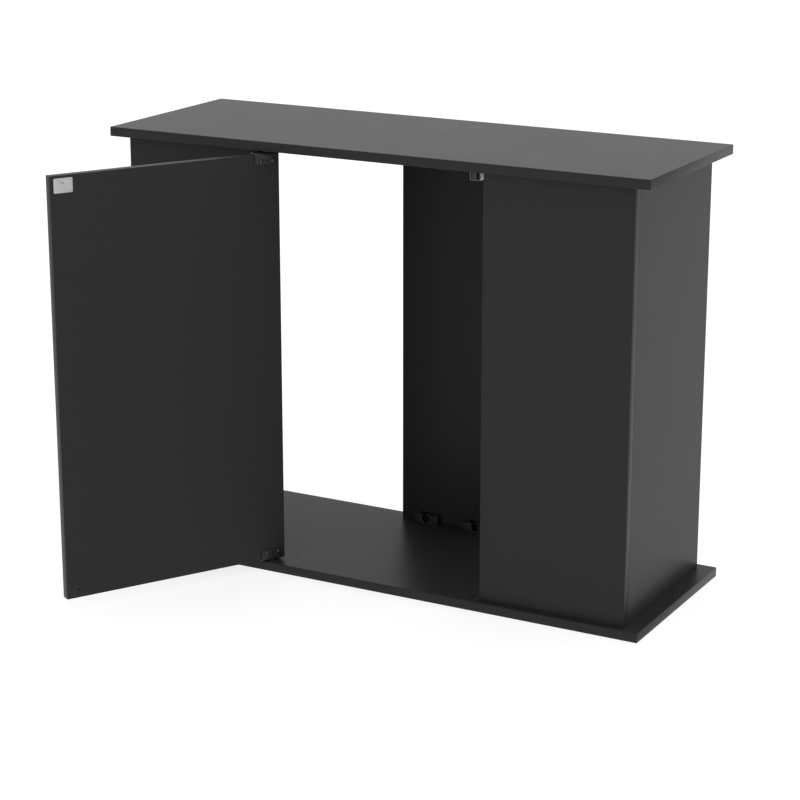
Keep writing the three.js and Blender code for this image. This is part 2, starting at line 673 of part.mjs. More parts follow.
function doorPanel() {
  const board = boxBetween(
    [-DOOR_WIDTH / 2, FRONT_Y, DOOR_BOTTOM],
    [DOOR_WIDTH / 2, DOOR_INNER_Y, DOOR_TOP],
  );
  const hinge = HINGES.flatMap(({ z, mirror }) => bracketScrewPlaces().map(
    ([x, , height]) => [PIVOT_X + x, DOOR_INNER_Y, z + height * mirror],
  ));
  const strike = [DOOR_TOP - STRIKE_SCREW_DROP, DOOR_BOTTOM + STRIKE_SPARE_RISE].map(
    (z) => [STRIKE_X, DOOR_INNER_Y, z],
  );
  const pilot = HINGE_SCREW_SHANK + JOIN_GAP;
  const bores = [...hinge, ...strike].map((point) => bore(point, [0, -1, 0], PILOT_DEPTH, pilot));
  return named('door_panel', without(board, bores), boardBlack());
}

// The steel plate that the catch holds, with a countersunk screw above its middle.
function strikePlate() {
  const plate = upright(roundedRectangle(STRIKE_WIDTH, STRIKE_HEIGHT, STRIKE_CORNER), STRIKE_SHEET);
  plate.translate(STRIKE_X, STRIKE_FACE_Y, DOOR_TOP - STRIKE_DROP);
  const mouth = SCREW_HEAD + JOIN_GAP;
  const throat = HINGE_SCREW_SHANK + JOIN_GAP;
  const slope = (mouth - throat) / STRIKE_SHEET;
  const sink = bore(
    [STRIKE_X, STRIKE_FACE_Y, DOOR_TOP - STRIKE_SCREW_DROP],
    [0, -1, 0],
    STRIKE_SHEET,
    mouth + slope * OVERSHOOT,
    FINE_SIDES,
    throat,
  );
  return named('strike_plate', without(plate, [sink]), zincSteel());
}

function strikeScrew() {
  const screw = named(
    'strike_plate_screw',
    sunkScrew(SCREW_HEAD, STRIKE_SHEET, HINGE_SCREW_SHANK, STRIKE_SHEET + SCREW_DEEP),
    zincSteel(),
  );
  screw.rotation.x = -Math.PI / 2;
  screw.position.set(STRIKE_X, STRIKE_FACE_Y, DOOR_TOP - STRIKE_SCREW_DROP);
  return screw;
}

// The door and all that moves with it, turned open about the pivot axis.
function door() {
  const closed = new THREE.Group();
  closed.position.set(-PIVOT_X, -PIVOT_Y, 0);
  closed.add(doorPanel(), doorHinges(), strikePlate(), strikeScrew());
  const open = new THREE.Group();
  open.position.set(PIVOT_X, PIVOT_Y, 0);
  open.rotation.z = -THREE.MathUtils.degToRad(DOOR_OPEN_DEG);
  open.add(closed);
  return open;
}

// ---- The whole cabinet ----

const [baseLevel, topLevel] = LEVELS;
const cabinet = new THREE.Group();
cabinet.add(
  levelPanel('base_panel', baseLevel),
  levelPanel('top_panel', topLevel),
  sidePanel('left_side_panel', -1),
  sidePanel('right_side_panel', 1),
  frontPanel('left_front_panel', -1),
  frontPanel('right_front_panel', 1),
  backPanel(),
  ...columnDowels('left', -1),
  ...columnDowels('right', 1),
  connectorBlocks(),
  catchHousing(),
  catchMagnet(),
  ...catchScrews(),
  ...pivotBushes(),
  door(),
);

export default cabinet;
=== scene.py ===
"""The look of the aquarium stand cabinet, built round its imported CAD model.

Everything is in metres in the CAD model's frame: +X to the right as seen from the front, +Y to the
back, +Z up. The door's pieces are built on the closed door and then turned open about its pivot.
"""

import json
from math import cos, pi, radians, sin
from typing import NamedTuple

import bmesh
import bpy
from mathutils import Matrix, Vector


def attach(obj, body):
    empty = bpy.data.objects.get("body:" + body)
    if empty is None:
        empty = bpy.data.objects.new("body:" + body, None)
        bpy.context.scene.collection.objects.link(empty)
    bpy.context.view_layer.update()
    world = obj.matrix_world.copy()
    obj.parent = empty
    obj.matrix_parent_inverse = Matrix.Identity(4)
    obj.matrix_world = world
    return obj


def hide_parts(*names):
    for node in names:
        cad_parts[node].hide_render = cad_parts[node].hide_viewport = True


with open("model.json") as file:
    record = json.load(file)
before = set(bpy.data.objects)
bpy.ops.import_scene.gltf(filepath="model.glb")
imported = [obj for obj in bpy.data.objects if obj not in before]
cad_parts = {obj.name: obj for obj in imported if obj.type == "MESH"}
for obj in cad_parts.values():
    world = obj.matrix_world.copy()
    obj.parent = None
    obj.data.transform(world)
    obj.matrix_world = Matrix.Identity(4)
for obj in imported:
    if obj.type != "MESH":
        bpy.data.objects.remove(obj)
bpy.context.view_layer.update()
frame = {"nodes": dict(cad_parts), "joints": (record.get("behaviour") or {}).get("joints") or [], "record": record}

MM = 0.001
X, Y, Z = Vector((1, 0, 0)), Vector((0, 1, 0)), Vector((0, 0, 1))
UPRIGHT = Matrix.Rotation(pi / 2, 4, "X")  # stands an outline in XY up in XZ, raised towards -Y

# ---- The door's pivot, from the frame ----

JOINT = frame["joints"][0]
PIVOT = Vector(JOINT["pos_m"])
OPEN_ANGLE = radians(JOINT["range_deg"][1])
OPENING = (
    Matrix.Translation(PIVOT) @ Matrix.Rotation(-OPEN_ANGLE, 4, "Z") @ Matrix.Translation(-PIVOT)
)
AT_REST = {"cabinet": Matrix.Identity(4), "door": OPENING}

# ---- Sizes that the frame doesn't give ----

EDGE_ROUND = 0.5 * MM  # the boards' edges
BAND = 1.0 * MM  # thickness of the edge band
SEAM = 0.07 * MM  # depth and half width of the seam beside it
HOLE_CHAMFER = 0.1 * MM
CUT_PAST = 2 * MM  # how far a cutter starts outside the face that it cuts
JOIN_GAP = 0.3 * MM  # between pieces that touch
SMOOTH_ANGLE = radians(35)  # edges that turn further are drawn sharp

SCREW_RADIUS = 1.7 * MM
SCREW_HEAD = 3.6 * MM
SCREW_DEEP = 11 * MM  # how far a screw goes into its board
SMALL_SCREW_RADIUS = 1.5 * MM
SMALL_SCREW_HEAD = 3.4 * MM
PAN_HEIGHT = 2.4 * MM
THREAD_PITCH = 1.4 * MM
THREAD_CORE = 0.72  # of the thread's radius
SCREW_TIP = 3 * MM
PAN_RECESS_DEPTH = 1.5 * MM
SUNK_RECESS_DEPTH = 1.6 * MM

SPARE_PIVOT_RADIUS = 3.5 * MM
PIVOT_HOLE_DEPTH = 10.5 * MM

BLOCK_LENGTH = 47 * MM
BLOCK_DEPTH = 16 * MM
BLOCK_HEIGHT = 17 * MM
BLOCK_ROUND = 0.35 * MM
BLOCK_HOLE_ROUND = 0.2 * MM  # the edges of its notch and holes
BLOCK_SCREW_OFFSET = 17 * MM
BLOCK_SCREW_PLAY = 0.15 * MM
BLOCK_SCREW_FLARE = 0.6 * MM  # where a screw goes in at the top
NOTCH_RADIUS = 7 * MM
NOTCH_DEPTH = 9.5 * MM
WALL_SCREW_RISE = 5 * MM  # from a block's middle up to the screw into its wall

CATCH_WIDTH = 18.5 * MM  # of the catch's housing without its ears
CATCH_WALL = 0.8 * MM
CATCH_CORNER = 2 * MM
CATCH_ROUND = 0.2 * MM
CATCH_SCREW_OFFSET = 18.6 * MM
EAR_THICKNESS = 2 * MM
EAR_DEPTH = 12 * MM
EAR_CORNER = 4 * MM
CARRIER_SETBACK = 5 * MM  # from the housing's front edge to the magnet's carrier
CARRIER_FIT = 0.2 * MM

STRIKE_CORNER = 2 * MM
STRIKE_SCREW_RISE = 4 * MM  # from the strike plate's middle up to its screw
STRIKE_SPARE_RISE = 13.9 * MM  # from the door's bottom to the spare hole for a plate there
DIMPLE_OFFSET = 10.2 * MM
DIMPLE_RADIUS = 1 * MM
DIMPLE_DEPTH = 0.5 * MM

BRACKET_SHEET = 2 * MM
BRACKET_CORNER = 3 * MM
BRACKET_SCREW_OFFSET = 11.1 * MM
BRACKET_SCREW_DROP = 11.5 * MM  # from the door's end to the screws
BRACKET_SPARE_HOLE = 1.6 * MM
PLATE_ROUND = 0.25 * MM  # the edges of the brackets, the strike plate and the magnet with its poles
PLATE_SCREW_PLAY = 0.3 * MM

PIN_RADIUS = 2 * MM
PIN_CHAMFER = 0.2 * MM
PIN_TIP = 0.8 * MM
BUSH_BORE = 2.08 * MM
BUSH_SLEEVE = 3.2 * MM
BUSH_FLANGE = 1 * MM
BUSH_CHAMFER = 0.3 * MM  # of its bore and its sleeve
BUSH_RIM_CHAMFER = 0.25 * MM

DOWEL_FLUTES = 24
DOWEL_FLUTE_REACH = 0.93  # of the dowel's radius
DOWEL_CHAMFER = 0.6 * MM


# ---- Where the CAD nodes are ----


class Box(NamedTuple):
    """A box between its lowest and its highest corner."""

    low: Vector
    high: Vector

    @property
    def middle(self):
        return (self.low + self.high) / 2

    @property
    def size(self):
        return self.high - self.low


def body_of_node(node):
    """The name of the body that a CAD node belongs to."""
    bodies = frame["record"]["behaviour"]["bodies"]
    return next(name for name, nodes in bodies.items() if node in nodes)


def node_box(node):
    """A CAD node's box, for a door node the one that it has on the closed door."""
    to_closed = AT_REST[body_of_node(node)].inverted()
    points = [to_closed @ vertex.co for vertex in frame["nodes"][node].data.vertices]
    low = Vector([min(point[axis] for point in points) for axis in range(3)])
    high = Vector([max(point[axis] for point in points) for axis in range(3)])
    return Box(low, high)


# ---- Mesh tools ----


def pointing(place, direction):
    """The matrix that takes +Z to a direction and the origin to a place."""
    return Matrix.Translation(place) @ direction.to_track_quat("Z", "Y").to_matrix().to_4x4()


def finished(bm, name, materials):
    """A mesh from a bmesh, smooth-shaded except across its sharp edges."""
    bmesh.ops.recalc_face_normals(bm, faces=bm.faces)
    mesh = bpy.data.meshes.new(name)
    bm.to_mesh(mesh)
    bm.free()
    for material in materials:
        mesh.materials.append(material)
    mesh.polygons.foreach_set("use_smooth", [True] * len(mesh.polygons))
    mesh.set_sharp_from_angle(angle=SMOOTH_ANGLE)
    return mesh


def moved_copy(bm, matrix):
    """A copy of a bmesh, moved."""
    copy = bm.copy()
    copy.transform(matrix)
    return copy


def joined(parts):
    """One bmesh of several, which are freed."""
    whole = bmesh.new()
    for part in parts:
        holder = bpy.data.meshes.new("part")
        part.to_mesh(holder)
        part.free()
        whole.from_mesh(holder)
        bpy.data.meshes.remove(holder)
    return whole


def turned(profile, sides=24):
    """A bmesh turned about +Z from (radius, z) points that start and end on the axis, or close."""
    bm = bmesh.new()
    rings = []
    for radius, z in profile:
        if radius == 0:
            rings.append([bm.verts.new((0, 0, z))])
            continue
        angles = [2 * pi * i / sides for i in range(sides)]
        rings.append([bm.verts.new((radius * cos(a), radius * sin(a), z)) for a in angles])
    if profile[0] == profile[-1]:
        bmesh.ops.delete(bm, geom=rings.pop(), context="VERTS")
        rings.append(rings[0])
    for lower, upper in zip(rings, rings[1:]):
        for i in range(sides):
            j = (i + 1) % sides
            places = ((lower, i), (lower, j), (upper, j), (upper, i))
            corners = [ring[k % len(ring)] for ring, k in places]
            bm.faces.new(list(dict.fromkeys(corners)))
    return bm


def box_bmesh(low, high):
    """A bmesh of a box between two corners."""
    bm = bmesh.new()
    bmesh.ops.create_cube(bm, size=1)
    middle, size = (Vector(low) + Vector(high)) / 2, Vector(high) - Vector(low)
    bm.transform(Matrix.Translation(middle) @ Matrix.Diagonal(size).to_4x4())
    return bm


def arc(centre, radius, start, end, steps):
    """Points in XY along an arc, from one quarter turn to another: 0 is +X, 1 is +Y."""
    angles = [(start + (end - start) * step / steps) * pi / 2 for step in range(steps + 1)]
    return [Vector(centre) + radius * Vector((cos(angle), sin(angle))) for angle in angles]


def rounded_rectangle(width, height, corner):
    """Outline points of a rectangle with round corners, centred on the origin."""
    points = []
    for quarter, (side_x, side_y) in enumerate([(1, 1), (-1, 1), (-1, -1), (1, -1)]):
        centre = (side_x * (width / 2 - corner), side_y * (height / 2 - corner))
        points += arc(centre, corner, quarter, quarter + 1, 6)
    return points


def prism(outline, depth):
    """A bmesh of an outline in XY, raised from z = 0 to z = depth."""
    bm = bmesh.new()
    face = bm.faces.new([bm.verts.new((*point, 0)) for point in outline])
    raised = bmesh.ops.extrude_face_region(bm, geom=[face])["geom"]
    far_corners = [item for item in raised if isinstance(item, bmesh.types.BMVert)]
    bmesh.ops.translate(bm, vec=Z * depth, verts=far_corners)
    bmesh.ops.recalc_face_normals(bm, faces=bm.faces)
    return bm


def with_modifier(bm, kind, values):
    """A bmesh after one modifier, given as its kind and its values."""
    mesh = bpy.data.meshes.new("work")
    bmesh.ops.recalc_face_normals(bm, faces=bm.faces)
    bm.to_mesh(mesh)
    bm.free()
    work = bpy.data.objects.new("work", mesh)
    bpy.context.scene.collection.objects.link(work)
    modifier = work.modifiers.new(kind, kind)
    for key, value in values.items():
        setattr(modifier, key, value)
    evaluated = work.evaluated_get(bpy.context.evaluated_depsgraph_get())
    result = bmesh.new()
    result.from_mesh(evaluated.to_mesh())
    evaluated.to_mesh_clear()
    bpy.data.objects.remove(work)
    return result


def boolean(bm, other, operation="DIFFERENCE"):
    """A bmesh cut by, or joined or crossed with, another. Both are freed."""
    mesh = bpy.data.meshes.new("cutter")
    bmesh.ops.recalc_face_normals(other, faces=other.faces)
    other.to_mesh(mesh)
    other.free()
    cutter = bpy.data.objects.new("cutter", mesh)
    bpy.context.scene.collection.objects.link(cutter)
    cutter.hide_render = True
    values = {"operation": operation, "solver": "EXACT", "object": cutter}
    result = with_modifier(bm, "BOOLEAN", values)
    bpy.data.objects.remove(cutter)
    return result


def softened(bm, width, segments=2, angle=radians(40)):
    """A bmesh with its sharp edges rounded."""
    values = {
        "width": width,
        "segments": segments,
        "limit_method": "ANGLE",
        "angle_limit": angle,
        "use_clamp_overlap": True,
    }
    return with_modifier(bm, "BEVEL", values)


def piece(name, mesh, body, nodes=(), place=Matrix.Identity(4)):
    """Puts a mesh in the scene at its place on the closed cabinet, riding on its body."""
    made = bpy.data.objects.new(name, mesh)
    bpy.context.scene.collection.objects.link(made)
    made.matrix_world = AT_REST[body] @ place
    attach(made, body)
    if nodes:
        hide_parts(*nodes)


# ---- Materials ----

# Places of the Mix node's colour sockets.
MIX_COLOUR_A, MIX_COLOUR_B, MIX_COLOUR_RESULT = 6, 7, 2


class Shader:
    """A node material with one Principled shader, and short ways to add its patterns."""

    def __init__(self, name, colour, roughness, metallic=0.0, specular=0.5):
        self.material = bpy.data.materials.new(name)
        self.material.use_nodes = True
        self.nodes = self.material.node_tree.nodes
        self.links = self.material.node_tree.links
        self.surface = self.nodes["Principled BSDF"]
        self.surface.inputs["Base Color"].default_value = (*colour, 1)
        self.surface.inputs["Roughness"].default_value = roughness
        self.surface.inputs["Metallic"].default_value = metallic
        self.surface.inputs["Specular IOR Level"].default_value = specular
        self.place = self.nodes.new("ShaderNodeTexCoord").outputs["Object"]

    def noise(self, size, detail=2.0, stretch=(1, 1, 1)):
        """Noise with features of about one size, in metres, drawn out along an axis by stretch."""
        mapping = self.nodes.new("ShaderNodeMapping")
        mapping.inputs["Scale"].default_value = [1 / value for value in stretch]
        self.links.new(self.place, mapping.inputs["Vector"])
        texture = self.nodes.new("ShaderNodeTexNoise")
        texture.inputs["Scale"].default_value = 1 / size
        texture.inputs["Detail"].default_value = detail
        self.links.new(mapping.outputs["Vector"], texture.inputs["Vector"])
        return texture.outputs["Fac"]

    def cells(self, size):
        """Cells of about one size, in metres, each with a value of its own."""
        texture = self.nodes.new("ShaderNodeTexVoronoi")
        texture.inputs["Scale"].default_value = 1 / size
        self.links.new(self.place, texture.inputs["Vector"])
        separate = self.nodes.new("ShaderNodeSeparateColor")
        self.links.new(texture.outputs["Color"], separate.inputs["Color"])
        return separate.outputs["Red"]

    def spread(self, value, low, high, start=0.3, end=0.7):
        """A value spread from the range start to end on to the range low to high."""
        node = self.nodes.new("ShaderNodeMapRange")
        for key, number in (("From Min", start), ("From Max", end), ("To Min", low), ("To Max", high)):
            node.inputs[key].default_value = number
        self.links.new(value, node.inputs["Value"])
        return node.outputs["Result"]

    def maths(self, operation, first, second):
        """The result of a sum or product of two values, each a number or a socket."""
        node = self.nodes.new("ShaderNodeMath")
        node.operation = operation
        for socket, value in zip(node.inputs, (first, second)):
            if isinstance(value, (int, float)):
                socket.default_value = value
            else:
                self.links.new(value, socket)
        return node.outputs["Value"]

    def blend(self, factor, first, second):
        """A colour between two colours."""
        node = self.nodes.new("ShaderNodeMix")
        node.data_type = "RGBA"
        self.links.new(factor, node.inputs["Factor"])
        for index, colour in ((MIX_COLOUR_A, first), (MIX_COLOUR_B, second)):
            node.inputs[index].default_value = (*colour, 1)
        return node.outputs[MIX_COLOUR_RESULT]

    def set(self, socket, value):
        """Lets a node's value drive one of the surface's sockets."""
        self.links.new(value, self.surface.inputs[socket])

    def bump(self, height, distance, strength=1.0):
        """Relief from a height of 0 to 1, distance metres deep."""
        node = self.nodes.new("ShaderNodeBump")
        node.inputs["Strength"].default_value = strength
        node.inputs["Distance"].default_value = distance
        self.links.new(height, node.inputs["Height"])
        self.links.new(node.outputs["Normal"], self.surface.inputs["Normal"])


def melamine():
    """Satin black laminate with a fine pearl grain and a trace of cloudiness."""
    shader = Shader("black_melamine", (0.021, 0.021, 0.0213), 0.37, specular=0.105)
    grain = shader.noise(1.3 * MM, detail=3)
    cloud = shader.noise(90 * MM, detail=3)
    mottle = shader.noise(4 * MM, detail=2)
    shade = shader.maths("MULTIPLY", shader.spread(grain, 0, 1), 0.6)
    shade = shader.maths("ADD", shade, shader.spread(mottle, 0, 0.4))
    shader.set("Base Color", shader.blend(shade, (0.0172, 0.0172, 0.0175), (0.0248, 0.0249, 0.0253)))
    rough = shader.maths("ADD", shader.spread(cloud, 0.364, 0.376), shader.spread(grain, -0.025, 0.025))
    shader.set("Roughness", rough)
    pearl = shader.maths("ADD", grain, shader.maths("MULTIPLY", shader.noise(0.45 * MM, detail=1), 0.5))
    shader.bump(pearl, 0.03 * MM, 0.6)
    return shader.material


def edge_band():
    """The smooth plastic strip on a board's edges, a little glossier than its faces."""
    shader = Shader("black_edge_band", (0.021, 0.021, 0.0213), 0.35, specular=0.11)
    waves = shader.noise(14 * MM, detail=2)
    shader.set("Roughness", shader.spread(waves, 0.33, 0.37))
    shader.set("Base Color", shader.blend(waves, (0.0188, 0.0188, 0.0191), (0.0232, 0.0232, 0.0236)))
    shader.bump(shader.noise(0.8 * MM), 0.015 * MM, 0.5)
    return shader.material


def chipboard():
    """Bare chipboard inside the drilled holes, coloured near black."""
    shader = Shader("bare_chipboard", (0.012, 0.009, 0.007), 0.9, specular=0.1)
    chips = shader.cells(1.2 * MM)
    shader.set("Base Color", shader.blend(chips, (0.006, 0.005, 0.004), (0.022, 0.016, 0.012)))
    shader.bump(chips, 0.15 * MM)
    return shader.material


def black_plastic():
    """Moulded plastic with a light spark-eroded texture."""
    shader = Shader("black_plastic", (0.016, 0.016, 0.0165), 0.45, specular=0.28)
    texture = shader.noise(0.6 * MM, detail=2)
    shader.set("Base Color", shader.blend(texture, (0.0145, 0.0145, 0.015), (0.0215, 0.0215, 0.0225)))
    shader.set("Roughness", shader.spread(shader.noise(6 * MM), 0.4, 0.52))
    shader.bump(texture, 0.03 * MM, 0.6)
    return shader.material


def zinc():
    """Zinc plating with faint rolling marks and clouding."""
    shader = Shader("zinc_plate", (0.42, 0.43, 0.43), 0.34, metallic=1.0)
    marks = shader.noise(0.5 * MM, detail=2, stretch=(12, 12, 1))
    cloud = shader.noise(5 * MM, detail=3)
    shader.set("Base Color", shader.blend(cloud, (0.395, 0.405, 0.4), (0.445, 0.455, 0.45)))
    rough = shader.maths("ADD", shader.spread(cloud, 0.3, 0.38), shader.spread(marks, -0.03, 0.03))
    shader.set("Roughness", rough)
    shader.bump(marks, 0.006 * MM, 0.5)
    return shader.material


def pole_steel_and_recess_shade():
    """Oiled dark steel of the magnet's poles, and painted shade inside the strike plate screw's recess."""
    shader = Shader("pole_steel_and_recess_shade", (0.05, 0.05, 0.052), 0.45, metallic=0.9)
    marks = shader.noise(0.4 * MM, detail=2, stretch=(1, 1, 8))
    shader.set("Base Color", shader.blend(marks, (0.05, 0.05, 0.052), (0.08, 0.08, 0.082)))
    shader.set("Roughness", shader.spread(marks, 0.4, 0.52))
    shader.bump(marks, 0.01 * MM, 0.5)
    return shader.material


def cut_steel():
    """The bare steel of a sheet's cut edge."""
    shader = Shader("cut_steel", (0.2, 0.2, 0.2), 0.42, metallic=1.0)
    marks = shader.noise(0.4 * MM, detail=2)
    shader.set("Base Color", shader.blend(marks, (0.16, 0.16, 0.16), (0.24, 0.24, 0.24)))
    shader.set("Roughness", shader.spread(marks, 0.36, 0.48))
    shader.bump(marks, 0.01 * MM, 0.5)
    return shader.material


def black_steel():
    """Blackened steel of the hinge brackets."""
    shader = Shader("black_steel", (0.033, 0.033, 0.035), 0.3, metallic=0.6, specular=0.2)
    grain = shader.noise(0.7 * MM, detail=3)
    shader.set("Base Color", shader.blend(grain, (0.028, 0.028, 0.029), (0.038, 0.038, 0.04)))
    shader.set("Roughness", shader.spread(grain, 0.27, 0.33))
    shader.bump(grain, 0.01 * MM, 0.4)
    return shader.material


def black_oxide():
    """Black-oxide steel of the hinge screws, in slightly uneven patches."""
    shader = Shader("black_oxide", (0.07, 0.07, 0.07), 0.2, metallic=1.0)
    grain = shader.noise(0.6 * MM, detail=3)
    shader.set("Base Color", shader.blend(grain, (0.055, 0.055, 0.056), (0.09, 0.09, 0.091)))
    shader.set("Roughness", shader.spread(grain, 0.16, 0.26))
    shader.bump(grain, 0.01 * MM, 0.5)
    return shader.material


def phosphate():
    """Phosphated steel of the blocks' screws: nearly black, with a dull sheen."""
    shader = Shader("phosphated_steel", (0.03, 0.03, 0.031), 0.34, metallic=0.7, specular=0.3)
    grain = shader.noise(0.6 * MM, detail=3)
    shader.set("Base Color", shader.blend(grain, (0.022, 0.022, 0.023), (0.04, 0.04, 0.041)))
    shader.set("Roughness", shader.spread(grain, 0.3, 0.4))
    shader.bump(grain, 0.01 * MM, 0.5)
    return shader.material


def notch_painted_shade():
    """The block's plastic inside its notch, coarse and dull, and near black as painted shade in the notch."""
    shader = Shader("notch_painted_shade", (0.006, 0.006, 0.006), 0.75, specular=0.12)
    texture = shader.noise(0.5 * MM, detail=3)
    shader.set("Base Color", shader.blend(texture, (0.004, 0.004, 0.004), (0.008, 0.008, 0.0085)))
    shader.bump(texture, 0.06 * MM)
    return shader.material


def ferrite():
    """Sintered magnet, dull dark grey with small pits."""
    shader = Shader("ferrite", (0.03, 0.03, 0.032), 0.6, specular=0.35)
    pits = shader.noise(0.5 * MM, detail=4)
    shader.set("Base Color", shader.blend(pits, (0.03, 0.03, 0.031), (0.055, 0.055, 0.057)))
    shader.bump(pits, 0.05 * MM)
    return shader.material


def beech():
    """Unfinished beech with its grain along the dowel."""
    shader = Shader("beech", (0.55, 0.36, 0.19), 0.6)
    grain = shader.noise(0.5 * MM, detail=3, stretch=(1, 1, 20))
    shader.set("Base Color", shader.blend(grain, (0.42, 0.26, 0.13), (0.66, 0.46, 0.26)))
    shader.bump(grain, 0.04 * MM)
    return shader.material


MELAMINE, EDGE_BAND, CHIPBOARD = melamine(), edge_band(), chipboard()
BLACK_PLASTIC, BLACK_STEEL, BLACK_OXIDE = black_plastic(), black_steel(), black_oxide()
ZINC, CUT_STEEL, POLE_STEEL_AND_RECESS_SHADE, PHOSPHATE = zinc(), cut_steel(), pole_steel_and_recess_shade(), phosphate()
# The notch material paints shade inside the blocks' notches.
NOTCH_PAINTED_SHADE, FERRITE, BEECH = notch_painted_shade(), ferrite(), beech()


# ---- Screws ----


class Screw(NamedTuple):
    """A screw: where the underside of its head sits, which way it goes in, and what it goes into."""

    seat: Vector
    into: Vector
    radius: float
    length: float
    board: str


def thread_profile(radius, length, neck):
    """(radius, z) points of a threaded shank from its tip up to its neck, under the head."""
    core = radius * THREAD_CORE
    points = [(0, -length), (0.6 * core, SCREW_TIP / 2 - length)]
    for turn in range(int((length - SCREW_TIP - neck) / THREAD_PITCH)):
        root = SCREW_TIP - length + turn * THREAD_PITCH
        crest = [(radius, root + share * THREAD_PITCH) for share in (0.3, 0.4)]
        points += [(core, root), *crest, (core, root + 0.7 * THREAD_PITCH)]
    points.append((core, -neck))
    return points


def cross_recess(head_radius, depth):
    """The cutter of a cross recess whose mouth is at z = 0. It narrows towards its bottom."""
    reach, blade = 0.58 * head_radius, 0.13 * head_radius
    bars = []
    for angle in (0, pi / 2):
        bar = box_bmesh((-reach, -blade, -depth), (reach, blade, depth))
        for vertex in bar.verts:
            if vertex.co.z < 0:
                vertex.co.x *= 0.45
                vertex.co.y *= 0.8
        bar.transform(Matrix.Rotation(angle, 4, "Z"))
        bars.append(bar)
    return boolean(bars[0], bars[1], "UNION")


def pan_screw(head_radius, radius, length):
    """A pan-head screw: its head stands on z = 0 and its shank runs down."""
    rim = 0.45 * PAN_HEIGHT
    flat = 0.35 * head_radius
    profile = thread_profile(radius, length, 0.2 * MM)
    profile += [(radius, 0), (0.96 * head_radius, 0), (head_radius, 0.12 * MM), (head_radius, rim)]
    for step in range(1, 6):
        angle = step / 6 * pi / 2
        spread, rise = (head_radius - flat) * cos(angle), (PAN_HEIGHT - rim) * sin(angle)
        profile.append((flat + spread, rim + rise))
    profile.append((0, PAN_HEIGHT))
    recess = cross_recess(head_radius, PAN_RECESS_DEPTH)
    recess.transform(Matrix.Translation(Z * PAN_HEIGHT))
    return boolean(turned(profile), recess)


def small_pan_screws(screws):
    """One bmesh of small pan-head screws, each at its place."""
    shapes = []
    for screw in screws:
        shape = pan_screw(SMALL_SCREW_HEAD, screw.radius, screw.length)
        shape.transform(pointing(screw.seat, -screw.into))
        shapes.append(shape)
    return joined(shapes)


def sunk_screw(head_radius, radius, length):
    """A countersunk screw: its flat head lies at z = 0 and its shank runs down. The inside of its
    recess has the second material, a darker steel painted there as shade."""
    cone = head_radius - radius * THREAD_CORE
    profile = thread_profile(radius, length, cone)
    profile += [(head_radius, -0.15 * MM), (head_radius - 0.1 * MM, 0), (0, 0)]
    screw = boolean(turned(profile, 32), cross_recess(head_radius, SUNK_RECESS_DEPTH))
    # Faces deep in the cross recess get the darker steel as painted shade.
    for face in screw.faces:
        spot = face.calc_center_median()
        is_below_mouth = -1.1 * SUNK_RECESS_DEPTH < spot.z < -0.05 * MM
        if is_below_mouth and spot.xy.length < 0.6 * head_radius:
            face.material_index = 1
    return screw


# ---- Connector blocks ----


class BlockPlace(NamedTuple):
    """A connector block's place: the matrix that takes its own frame to the cabinet's."""

    name: str
    matrix: Matrix
    level_board: str
    wall_board: str


def block_places():
    """The sixteen blocks, from their CAD boxes. In a block's own frame the wall is behind it at y = 0
    and the board that it stands on is under it at z = 0."""
    walls = {
        "back": (0, "back_panel"),
        "left_side": (90, "left_side_panel"),
        "right_side": (-90, "right_side_panel"),
        "left_front": (180, "left_front_panel"),
        "right_front": (180, "right_front_panel"),
    }
    places = []
    for node in sorted(frame["nodes"]):
        if not node.endswith("_block"):
            continue
        heading, wall_board = next(value for start, value in walls.items() if node.startswith(start))
        box = node_box(node)
        on_top = node.endswith("top_block")
        turn = Matrix.Rotation(radians(heading), 4, "Z") @ Matrix.Rotation(pi if on_top else 0, 4, "Y")
        to_wall = turn @ Y
        up = turn @ Z
        half_depth = abs(box.size.dot(to_wall)) / 2
        half_height = abs(box.size.dot(up)) / 2
        foot = box.middle + to_wall * (half_depth + JOIN_GAP) - up * (half_height + JOIN_GAP)
        board = "top_panel" if on_top else "base_panel"
        places.append(BlockPlace(node, Matrix.Translation(foot) @ turn, board, wall_board))
    return places


BLOCKS = block_places()
# A block in its own frame, a little clear of its wall and its board.
BLOCK = Box(
    Vector((-BLOCK_LENGTH / 2, -BLOCK_DEPTH - JOIN_GAP, JOIN_GAP)),
    Vector((BLOCK_LENGTH / 2, -JOIN_GAP, BLOCK_HEIGHT + JOIN_GAP)),
)


def block_screw_places(block):
    """The three screws of a block: two into the board that it stands on, and one into its wall."""
    middle = BLOCK.middle.y
    screws = []
    for side in (-1, 1):
        seat = Vector((side * BLOCK_SCREW_OFFSET, middle, BLOCK.high.z + JOIN_GAP))
        screws.append((seat, -Z, BLOCK.high.z + JOIN_GAP + SCREW_DEEP, block.level_board))
    seat = Vector((0, BLOCK.low.y + NOTCH_DEPTH - JOIN_GAP, BLOCK.middle.z + WALL_SCREW_RISE))
    screws.append((seat, Y, -seat.y + SCREW_DEEP, block.wall_board))
    turn = block.matrix.to_3x3()
    return [
        Screw(block.matrix @ seat, turn @ into, SCREW_RADIUS, length, board)
        for seat, into, length, board in screws
    ]


def notch_cutter():
    """The notch in a block's front: round at its bottom and open at the top."""
    outline = [Vector((NOTCH_RADIUS, BLOCK.size.z)), Vector((-NOTCH_RADIUS, BLOCK.size.z))]
    outline += arc((0, 0), NOTCH_RADIUS, 2, 4, 12)
    notch = prism(outline, NOTCH_DEPTH + CUT_PAST)
    notch.transform(Matrix.Translation((0, BLOCK.low.y + NOTCH_DEPTH, BLOCK.middle.z)) @ UPRIGHT)
    return notch


